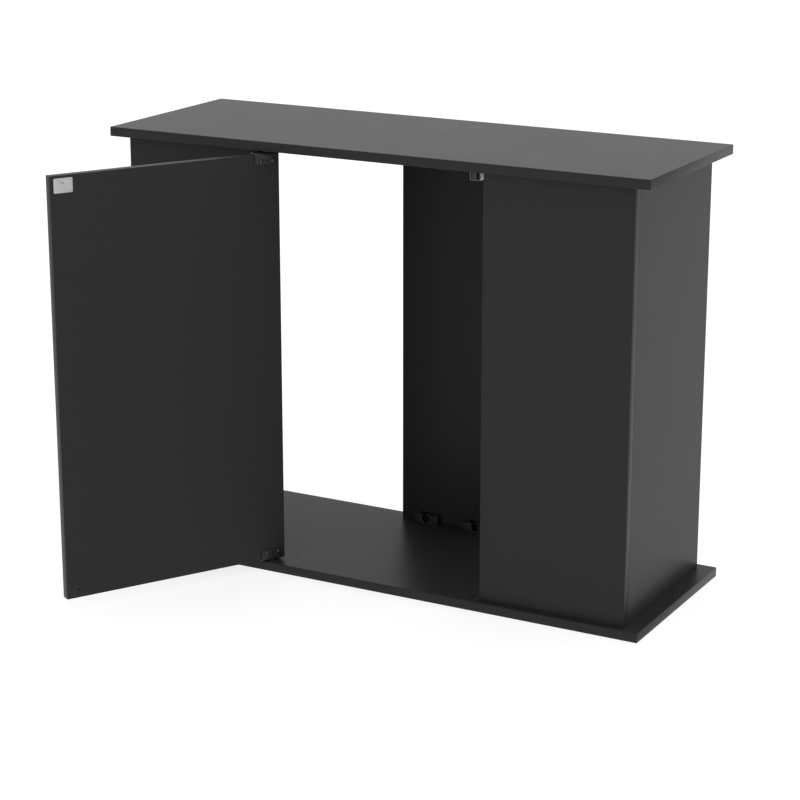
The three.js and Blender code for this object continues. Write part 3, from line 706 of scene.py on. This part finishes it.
def socket_cutter(side):
    """The way of a screw down through a block, flared at the top."""
    bore, mouth = SCREW_RADIUS + BLOCK_SCREW_PLAY, SCREW_RADIUS + BLOCK_SCREW_FLARE
    bottom = -BLOCK.size.z - CUT_PAST
    socket = turned([
        (0, bottom),
        (bore, bottom),
        (bore, -BLOCK_SCREW_FLARE),
        (mouth, 0),
        (mouth, CUT_PAST),
        (0, CUT_PAST),
    ])
    place = (side * BLOCK_SCREW_OFFSET, BLOCK.middle.y, BLOCK.high.z)
    socket.transform(Matrix.Translation(place))
    return socket


def wall_hole_cutter():
    """The way of a screw from the notch to the wall."""
    bore = SCREW_RADIUS + BLOCK_SCREW_PLAY
    hole = turned([(0, -2 * CUT_PAST), (bore, -2 * CUT_PAST), (bore, BLOCK_DEPTH), (0, BLOCK_DEPTH)])
    seat = Vector((0, BLOCK.low.y + NOTCH_DEPTH, BLOCK.middle.z + WALL_SCREW_RISE))
    hole.transform(pointing(seat, Y))
    return hole


def paint_notch_shade(bm):
    """Gives the inside of a block's notch the second material, which paints shade there."""
    slack = 0.1 * MM
    for face in bm.faces:
        spot = face.calc_center_median()
        depth = spot.y - BLOCK.low.y
        is_inside = 5 * slack < depth < NOTCH_DEPTH + slack and abs(spot.x) < NOTCH_RADIUS + slack
        if is_inside and spot.z > BLOCK.middle.z - NOTCH_RADIUS - slack:
            face.material_index = 1


def block_mesh():
    """The moulded block, with a notch for its wall screw and two sockets for the screws that run
    down through it."""
    body = softened(box_bmesh(BLOCK.low, BLOCK.high), BLOCK_ROUND, 3)
    for cutter in (notch_cutter(), socket_cutter(-1), socket_cutter(1), wall_hole_cutter()):
        body = boolean(body, cutter)
    body = softened(body, BLOCK_HOLE_ROUND, 2, radians(50))
    # The inside of the notch gets painted shade.
    paint_notch_shade(body)
    return finished(body, "connector_block", [BLACK_PLASTIC, NOTCH_PAINTED_SHADE])


def add_blocks():
    """All blocks share one mesh, and their sets of three screws another."""
    mesh = block_mesh()
    places = block_screw_places(BlockPlace("", Matrix.Identity(4), "", ""))
    long_screw = pan_screw(SCREW_HEAD, SCREW_RADIUS, places[0].length)
    short_screw = pan_screw(SCREW_HEAD, SCREW_RADIUS, places[2].length)
    screws = [
        moved_copy(shape, pointing(screw.seat, -screw.into))
        for shape, screw in zip((long_screw, long_screw, short_screw), places)
    ]
    screws_mesh = finished(joined(screws), "block_screws", [PHOSPHATE])
    long_screw.free()
    short_screw.free()
    for block in BLOCKS:
        piece(f"{block.name}.look", mesh, "cabinet", [block.name], block.matrix)
        nodes = [node for node in frame["nodes"] if node.startswith(f"{block.name}_")]
        piece(f"{block.name}_screws", screws_mesh, "cabinet", nodes, block.matrix)


# ---- The screws of the catch, the strike plate and the hinges ----
#
# They come before the boards, which are drilled for them.

CATCH = node_box("catch_housing")
STRIKE = node_box("strike_plate")
BRACKETS = {name: node_box(f"{name}_hinge_bracket") for name in ("upper", "lower")}
DOOR = node_box("door_panel")


def catch_screws():
    """The two screws through the catch's ears into the top board."""
    middle, seat_z = CATCH.middle, CATCH.high.z - EAR_THICKNESS
    seats = [Vector((middle.x + side * CATCH_SCREW_OFFSET, middle.y, seat_z)) for side in (-1, 1)]
    length = EAR_THICKNESS + SCREW_DEEP
    return [Screw(seat, Z, SMALL_SCREW_RADIUS, length, "top_panel") for seat in seats]


def strike_screw():
    """The screw through the strike plate into the door."""
    seat = STRIKE.middle + Z * STRIKE_SCREW_RISE
    seat.y = STRIKE.high.y
    return Screw(seat, -Y, SMALL_SCREW_RADIUS, SCREW_DEEP + 1 * MM, "door_panel")


def hinge_screws(name):
    """The two screws through the bracket's leg into the door."""
    bracket = BRACKETS[name]
    z = DOOR.high.z - BRACKET_SCREW_DROP if name == "upper" else DOOR.low.z + BRACKET_SCREW_DROP
    places = [bracket.middle.x + side * BRACKET_SCREW_OFFSET for side in (-1, 1)]
    length = BRACKET_SHEET + SCREW_DEEP
    return [
        Screw(Vector((x, bracket.high.y, z)), -Y, SMALL_SCREW_RADIUS, length, "door_panel")
        for x in places
    ]


# ---- Boards ----


class Hole(NamedTuple):
    """A drilled hole: where its mouth is, and which way it goes in."""

    mouth: Vector
    into: Vector
    radius: float
    depth: float


def screw_hole(screw, board):
    """The pilot hole of a screw in a board, from the board's face."""
    box = node_box(board)
    axis = max(range(3), key=lambda i: abs(screw.into[i]))
    face = box.low[axis] if screw.into[axis] > 0 else box.high[axis]
    mouth = screw.seat.copy()
    mouth[axis] = face
    return Hole(mouth, screw.into, screw.radius + 0.1 * MM, SCREW_DEEP + 1 * MM)


def empty_holes():
    """Holes that nothing fills, by board: the boards are drilled for a door on either side."""
    base, top = node_box("base_panel"), node_box("top_panel")
    faces = {"base_panel": (base.high.z, -Z), "top_panel": (top.low.z, Z)}
    holes = {board: [] for board in ("base_panel", "top_panel", "door_panel")}
    for board, (face, into) in faces.items():
        for side in (-1, 1):
            mouth = Vector((side * PIVOT.x, PIVOT.y, face))
            holes[board].append(Hole(mouth, into, SPARE_PIVOT_RADIUS, PIVOT_HOLE_DEPTH))
    for side in (-1, 1):
        mouth = Vector((-CATCH.middle.x + side * CATCH_SCREW_OFFSET, CATCH.middle.y, base.high.z))
        holes["base_panel"].append(Hole(mouth, -Z, SMALL_SCREW_RADIUS, SCREW_DEEP))
    mouth = Vector((STRIKE.middle.x, DOOR.high.y, DOOR.low.z + STRIKE_SPARE_RISE))
    holes["door_panel"].append(Hole(mouth, -Y, SMALL_SCREW_RADIUS, SCREW_DEEP))
    return holes


def hole_cutter(hole):
    """A drill's shape with a small chamfer at the mouth."""
    mouth_radius, cone = hole.radius + HOLE_CHAMFER, 0.4 * hole.radius
    cutter = turned([
        (0, -CUT_PAST),
        (mouth_radius, -CUT_PAST),
        (mouth_radius, 0),
        (hole.radius, HOLE_CHAMFER),
        (hole.radius, hole.depth),
        (0, hole.depth + cone),
    ])
    cutter.transform(pointing(hole.mouth, hole.into))
    return cutter


def coated_board(box):
    """A board with its edge bands, the seams beside them and its rounded edges."""
    bm = box_bmesh(box.low, box.high)
    thin = min(range(3), key=lambda axis: box.size[axis])
    outer_edges = list(bm.edges)
    bm.faces.ensure_lookup_table()
    broad = [face for face in bm.faces if abs(face.normal[thin]) > 0.5]
    for face in bm.faces:
        face.material_index = 0 if face in broad else 1
    for face in broad:
        ring = bmesh.ops.inset_region(bm, faces=[face], thickness=BAND, use_even_offset=True)["faces"]
        for strip in ring:
            strip.material_index = 1
        for depth in (-SEAM, SEAM):
            bmesh.ops.inset_region(bm, faces=[face], thickness=SEAM, depth=depth, use_even_offset=True)
    bmesh.ops.bevel(
        bm, geom=outer_edges, offset=EDGE_ROUND, segments=3, profile=0.5, affect="EDGES", material=-1,
    )
    return bm


def paint_hole_walls(bm, box):
    """Gives the faces inside the board's outer faces the bare chipboard."""
    for face in bm.faces:
        centre = face.calc_center_median()
        inset = min(min(centre[i] - box.low[i], box.high[i] - centre[i]) for i in range(3))
        if inset > EDGE_ROUND:
            face.material_index = 2


def add_board(node, holes):
    """A board with its holes, in place of its CAD node."""
    box = node_box(node)
    bm = coated_board(box)
    if holes:
        bm = boolean(bm, joined([hole_cutter(hole) for hole in holes]))
        paint_hole_walls(bm, box)
    mesh = finished(bm, f"{node}_mesh", [MELAMINE, EDGE_BAND, CHIPBOARD])
    piece(f"{node}.look", mesh, body_of_node(node), [node])


def add_boards():
    """Every board, drilled for the screws that go into it and with its empty holes."""
    screws = [screw for block in BLOCKS for screw in block_screw_places(block)]
    screws += catch_screws() + [strike_screw()] + hinge_screws("upper") + hinge_screws("lower")
    empty = empty_holes()
    for node in sorted(frame["nodes"]):
        if not node.endswith("_panel"):
            continue
        holes = [screw_hole(screw, node) for screw in screws if screw.board == node]
        add_board(node, holes + empty.get(node, []))


# ---- Dowels ----


def dowel_mesh(radius, length):
    """A fluted dowel that stands on z = 0, with chamfered ends."""
    outline = []
    for flute in range(DOWEL_FLUTES):
        for part, reach in ((0, 1), (0.3, 1), (0.5, DOWEL_FLUTE_REACH), (0.8, DOWEL_FLUTE_REACH)):
            angle = 2 * pi * (flute + part) / DOWEL_FLUTES
            outline.append(radius * reach * Vector((cos(angle), sin(angle))))
    shape = softened(prism(outline, length), DOWEL_CHAMFER, 2, radians(70))
    return finished(shape, "dowel", [BEECH])


def add_dowels():
    """The dowels in the columns' joints, which share one mesh."""
    box = node_box("left_column_middle_dowel")
    mesh = dowel_mesh(box.size.x / 2, box.size.y)
    for node in sorted(frame["nodes"]):
        if node.endswith("_dowel"):
            spot = node_box(node)
            place = pointing(Vector((spot.middle.x, spot.low.y, spot.middle.z)), Y)
            piece(f"{node}.look", mesh, "cabinet", [node], place)


# ---- Magnetic catch ----


def catch_shell():
    """The sheet-metal housing, open at the front, with its ears under the top panel."""
    depth, height = CATCH.size.y, CATCH.size.z
    body = prism(rounded_rectangle(CATCH_WIDTH, height, CATCH_CORNER), depth)
    body.transform(Matrix.Translation((CATCH.middle.x, CATCH.high.y, CATCH.middle.z)) @ UPRIGHT)
    roof = box_bmesh(
        (CATCH.middle.x - CATCH_WIDTH / 2, CATCH.low.y, CATCH.middle.z),
        (CATCH.middle.x + CATCH_WIDTH / 2, CATCH.high.y, CATCH.high.z),
    )
    ears = prism(rounded_rectangle(CATCH.size.x, EAR_DEPTH, EAR_CORNER), EAR_THICKNESS)
    ears_place = (CATCH.middle.x, CATCH.middle.y, CATCH.high.z - EAR_THICKNESS)
    ears.transform(Matrix.Translation(ears_place))
    housing = boolean(boolean(body, roof, "UNION"), ears, "UNION")
    inner_width, inner_height = CATCH_WIDTH - 2 * CATCH_WALL, height - 2 * CATCH_WALL
    pocket = prism(rounded_rectangle(inner_width, inner_height, CATCH_CORNER - CATCH_WALL), depth)
    pocket_place = (CATCH.middle.x, CATCH.high.y - CATCH_WALL, CATCH.middle.z)
    pocket.transform(Matrix.Translation(pocket_place) @ UPRIGHT)
    housing = boolean(housing, pocket)
    for screw in catch_screws():
        radius = screw.radius + PLATE_SCREW_PLAY
        housing = boolean(housing, hole_cutter(Hole(screw.seat, Z, radius, 2 * EAR_THICKNESS)))
    return softened(housing, CATCH_ROUND, 2)


def paint_catch(bm):
    """Gives the sheet's cut front edge the second material."""
    bm.normal_update()
    for face in bm.faces:
        depth = face.calc_center_median().y - CATCH.low.y
        if depth < CATCH_WALL and face.normal.y < -0.3:
            face.material_index = 1


def magnet_carrier():
    """The plastic block that holds the magnet and its poles inside the housing."""
    clear = CATCH_WALL + CARRIER_FIT
    reach = Vector((CATCH_WIDTH / 2 - clear, 0, CATCH.size.z / 2 - clear))
    low, high = CATCH.middle - reach, CATCH.middle + reach
    low.y, high.y = CATCH.low.y + CARRIER_SETBACK, CATCH.high.y - clear
    carrier = softened(box_bmesh(low, high), CATCH_CORNER - CATCH_WALL, 3)
    margin = (X + Y + Z) * CARRIER_FIT / 2
    for node in ("catch_left_pole", "catch_magnet", "catch_right_pole"):
        box = node_box(node)
        carrier = boolean(carrier, box_bmesh(box.low - margin, box.high + margin))
    return finished(carrier, "catch_carrier", [BLACK_PLASTIC])


def add_catch():
    """The catch: its housing, the magnet between two poles, their carrier and the screws."""
    piece("catch_carrier", magnet_carrier(), "cabinet")
    housing = catch_shell()
    paint_catch(housing)
    mesh = finished(housing, "catch_housing", [ZINC, CUT_STEEL])
    piece("catch_housing.look", mesh, "cabinet", ["catch_housing"])
    for node, material, slot in (
        ("catch_magnet", FERRITE, "magnet_ferrite"),
        ("catch_left_pole", POLE_STEEL_AND_RECESS_SHADE, "zinc_steel"),
        ("catch_right_pole", POLE_STEEL_AND_RECESS_SHADE, "zinc_steel"),
    ):
        block = softened(box_bmesh(*node_box(node)), PLATE_ROUND, 3)
        piece(f"{node}.look", finished(block, node, [material]), "cabinet", [node])
    mesh = finished(small_pan_screws(catch_screws()), "catch_screws", [ZINC])
    piece("catch_screws", mesh, "cabinet", ["catch_left_screw", "catch_right_screw"])


# ---- Strike plate ----


def strike_plate_mesh(screw):
    """A stamped plate with a countersink and a locating dimple on each side of it."""
    plate = prism(rounded_rectangle(STRIKE.size.x, STRIKE.size.z, STRIKE_CORNER), STRIKE.size.y)
    place = (STRIKE.middle.x, STRIKE.high.y, STRIKE.middle.z)
    plate.transform(Matrix.Translation(place) @ UPRIGHT)
    plate = softened(plate, PLATE_ROUND, 2)
    mouth, bore = SCREW_HEAD + 0.15 * MM, screw.radius + 0.2 * MM
    sink = turned([
        (0, -1 * MM),
        (mouth + 1 * MM, -1 * MM),
        (mouth, 0),
        (bore, STRIKE.size.y),
        (bore, 3 * MM),
        (0, 3 * MM),
    ], 32)
    sink.transform(pointing(screw.seat, screw.into))
    plate = boolean(plate, sink)
    for side in (-1, 1):
        dimple = turned([
            (0, -1 * MM),
            (DIMPLE_RADIUS, -1 * MM),
            (DIMPLE_RADIUS, 0),
            (0.6 * DIMPLE_RADIUS, 0.7 * DIMPLE_DEPTH),
            (0, DIMPLE_DEPTH),
        ])
        dimple.transform(pointing(screw.seat + X * side * DIMPLE_OFFSET, screw.into))
        plate = boolean(plate, dimple)
    return finished(plate, "strike_plate", [ZINC])


def add_strike_plate():
    """The bright plate near the door's upper free corner, and its screw."""
    screw = strike_screw()
    mesh = strike_plate_mesh(screw)
    piece("strike_plate.look", mesh, "door", ["strike_plate"])
    shape = sunk_screw(SCREW_HEAD, screw.radius, screw.length)
    shape.transform(pointing(screw.seat, -screw.into))
    # The second material is painted shade inside the screw's recess.
    mesh = finished(shape, "strike_plate_screw", [ZINC, POLE_STEEL_AND_RECESS_SHADE])
    piece("strike_plate_screw.look", mesh, "door", ["strike_plate_screw"])


# ---- Hinges ----


def way_up(name):
    """1 for the upper hinge, which points up, and -1 for the lower one, its mirror image."""
    return 1 if name == "upper" else -1


def angle_section(reach, leg):
    """The section of a bent angle of sheet metal. Its outer corner is at the origin, its flange runs
    along -X and its leg along -Y."""
    sheet, bend = BRACKET_SHEET, 2 * BRACKET_SHEET
    outline = [Vector((-reach, 0)), Vector((-reach, -sheet)), Vector((-bend, -sheet))]
    outline += arc((-bend, -bend), bend - sheet, 1, 0, 6)
    outline += [Vector((-sheet, -leg)), Vector((0, -leg))]
    outline += arc((-bend, -bend), bend, 0, 1, 8)
    return outline


def rounded_bracket(box, up):
    """A hinge's angle with its corners rounded: a flange over the door's end and a leg down its
    inner face."""
    end = box.high.z if up == 1 else box.low.z
    width, reach, leg = box.size
    bracket = prism(angle_section(reach, leg), width)
    to_place = Matrix(((0, 0, 1, box.low.x), (1, 0, 0, box.high.y), (0, up, 0, end), (0, 0, 0, 1)))
    bracket.transform(to_place)
    flange = prism(rounded_rectangle(width, reach + BRACKET_CORNER, BRACKET_CORNER), 4 * leg)
    flange_y = box.low.y + (reach + BRACKET_CORNER) / 2
    flange.transform(Matrix.Translation((box.middle.x, flange_y, box.middle.z - 2 * leg)))
    face = prism(rounded_rectangle(width, leg + BRACKET_CORNER, BRACKET_CORNER), 4 * reach)
    face_z = end - up * (leg - BRACKET_CORNER) / 2
    face.transform(Matrix.Translation((box.middle.x, box.middle.y + 2 * reach, face_z)) @ UPRIGHT)
    bracket = boolean(boolean(bracket, flange, "INTERSECT"), face, "INTERSECT")
    return softened(bracket, PLATE_ROUND, 2)


def bracket_holes(name, end):
    """The bracket's holes: two for its screws, a spare one between them and one for the pin."""
    screws, depth = hinge_screws(name), 2 * BRACKET_SHEET
    holes = [Hole(screw.seat, -Y, screw.radius + PLATE_SCREW_PLAY, depth) for screw in screws]
    holes.append(Hole((screws[0].seat + screws[1].seat) / 2, -Y, BRACKET_SPARE_HOLE, depth))
    pin_mouth = Vector((PIVOT.x, PIVOT.y, end))
    holes.append(Hole(pin_mouth, -way_up(name) * Z, PIN_RADIUS + 0.05 * MM, depth))
    return holes


def bracket_mesh(name):
    """A drilled bracket of blackened sheet, with bare steel at its flange's sheared ends."""
    box, up = BRACKETS[name], way_up(name)
    end = box.high.z if up == 1 else box.low.z
    bracket = rounded_bracket(box, up)
    for hole in bracket_holes(name, end):
        bracket = boolean(bracket, hole_cutter(hole))
    bracket.normal_update()
    for face in bracket.faces:
        is_flange = abs(face.calc_center_median().z - end) < BRACKET_SHEET
        if is_flange and abs(face.normal.x) > 0.7:
            face.material_index = 1
    return finished(bracket, f"{name}_hinge_bracket", [BLACK_STEEL, CUT_STEEL])


def at_pivot(z, up):
    """The matrix that stands a turned shape on a height at the pivot, mirrored for the lower hinge."""
    return Matrix.Translation((PIVOT.x, PIVOT.y, up * z)) @ Matrix.Diagonal((1, 1, up, 1))


def pin_bmesh(shoulder_radius, shoulder_foot, shoulder_top, length):
    """A turned pin that stands on z = 0, with a shoulder between two heights."""
    return turned([
        (0, 0),
        (PIN_RADIUS - PIN_CHAMFER, 0),
        (PIN_RADIUS, PIN_CHAMFER),
        (PIN_RADIUS, shoulder_foot),
        (shoulder_radius - PIN_CHAMFER, shoulder_foot),
        (shoulder_radius, shoulder_foot + PIN_CHAMFER),
        (shoulder_radius, shoulder_top - PIN_CHAMFER),
        (shoulder_radius - PIN_CHAMFER, shoulder_top),
        (PIN_RADIUS, shoulder_top),
        (PIN_RADIUS, length - PIN_TIP),
        (PIN_RADIUS - PIN_TIP, length),
        (0, length),
    ], 40)


def bush_bmesh(rim, top):
    """A bush that stands on z = 0 with its flange down."""
    return turned([
        (BUSH_BORE + BUSH_CHAMFER, 0),
        (rim - BUSH_RIM_CHAMFER, 0),
        (rim, BUSH_RIM_CHAMFER),
        (rim, BUSH_FLANGE),
        (BUSH_SLEEVE, BUSH_FLANGE),
        (BUSH_SLEEVE, top - BUSH_CHAMFER),
        (BUSH_SLEEVE - BUSH_CHAMFER, top),
        (BUSH_BORE, top),
        (BUSH_BORE, BUSH_CHAMFER),
        (BUSH_BORE + BUSH_CHAMFER, 0),
    ], 40)


def add_pin(name):
    """The turned pin in the bracket's flange and the plastic bush it turns in. Heights are counted
    upwards, and for the lower hinge downwards."""
    pin, bush = node_box(f"{name}_hinge_pin"), node_box(f"{name}_pivot_bush")
    up = way_up(name)
    foot = pin.low.z if up == 1 else -pin.high.z
    bush_foot = bush.low.z if up == 1 else -bush.high.z
    flange_face = BRACKETS[name].high.z if up == 1 else -BRACKETS[name].low.z
    shoulder_foot = flange_face - foot + JOIN_GAP
    shoulder_top = bush_foot - foot - JOIN_GAP
    shape = pin_bmesh(pin.size.x / 2, shoulder_foot, shoulder_top, pin.size.z)
    shape.transform(at_pivot(foot, up))
    mesh = finished(shape, f"{name}_hinge_pin", [ZINC])
    piece(f"{name}_hinge_pin.look", mesh, "door", [f"{name}_hinge_pin"])
    sleeve = bush_bmesh(bush.size.x / 2, bush.size.z)
    sleeve.transform(at_pivot(bush_foot, up))
    mesh = finished(sleeve, f"{name}_pivot_bush", [BLACK_PLASTIC])
    piece(f"{name}_pivot_bush.look", mesh, "cabinet", [f"{name}_pivot_bush"])


def add_hinges():
    """Both hinges: bracket, screws, pin and bush."""
    for name in ("upper", "lower"):
        node = f"{name}_hinge_bracket"
        piece(f"{node}.look", bracket_mesh(name), "door", [node])
        screws = small_pan_screws(hinge_screws(name))
        mesh = finished(screws, f"{name}_hinge_screws", [BLACK_OXIDE])
        nodes = [f"{name}_hinge_screw_{number}" for number in (1, 2)]
        piece(f"{name}_hinge_screws", mesh, "door", nodes)
        add_pin(name)


# ---- Camera, floor and light ----

CAMERA_PLACE = (1.83966, -3.42328, 1.43243)
CAMERA_TILT = radians(73.6566)
CAMERA_HEADING = radians(28.6312)
CAMERA_LENS = 105.05
CAMERA_SENSOR = 36
CAMERA_REACH = 100

FLOOR_RADIUS = 14
FLOOR_DROP = 0.3 * MM  # how far the floor lies under the base
FLOOR_GLOW = 0.75
WORLD_GLOW = 0.96
OVERHEAD_PLACE = Vector((0.5, 0.3, 4))
OVERHEAD_SIZE = 4
OVERHEAD_WATTS = 30


def add_camera():
    """A long lens, a little above the cabinet and to its right."""
    camera = bpy.data.cameras.new("camera")
    camera.lens = CAMERA_LENS
    camera.sensor_width = CAMERA_SENSOR
    camera.clip_end = CAMERA_REACH
    holder = bpy.data.objects.new("camera", camera)
    holder.location = CAMERA_PLACE
    holder.rotation_euler = (CAMERA_TILT, 0, CAMERA_HEADING)
    bpy.context.scene.collection.objects.link(holder)
    bpy.context.scene.camera = holder


def add_floor():
    """A wide pale light table just under the base."""
    shader = Shader("pale_floor", (0.35, 0.35, 0.35), 0.9, specular=0.1)
    shade = shader.blend(shader.noise(0.2), (0.345, 0.345, 0.345), (0.355, 0.355, 0.355))
    shader.set("Base Color", shade)
    shader.surface.inputs["Emission Color"].default_value = (1, 1, 1, 1)
    shader.surface.inputs["Emission Strength"].default_value = FLOOR_GLOW
    mesh = finished(turned([(0, 0), (FLOOR_RADIUS, 0)], 96), "floor", [shader.material])
    floor = bpy.data.objects.new("floor", mesh)
    floor.location.z = -FLOOR_DROP
    bpy.context.scene.collection.objects.link(floor)


def add_light():
    """A white studio: even light from all round and a large soft box overhead."""
    world = bpy.data.worlds.new("studio")
    world.use_nodes = True
    world.node_tree.nodes["Background"].inputs["Color"].default_value = (1, 1, 1, 1)
    world.node_tree.nodes["Background"].inputs["Strength"].default_value = WORLD_GLOW
    bpy.context.scene.world = world
    light = bpy.data.lights.new("overhead", "AREA")
    light.shape = "SQUARE"
    light.size = OVERHEAD_SIZE
    light.energy = OVERHEAD_WATTS
    holder = bpy.data.objects.new("overhead", light)
    holder.matrix_world = pointing(OVERHEAD_PLACE, OVERHEAD_PLACE)
    bpy.context.scene.collection.objects.link(holder)
    bpy.context.scene.view_settings.view_transform = "Standard"


add_camera()
add_floor()
add_light()
add_boards()
add_blocks()
add_dowels()
add_catch()
add_strike_plate()
add_hinges()
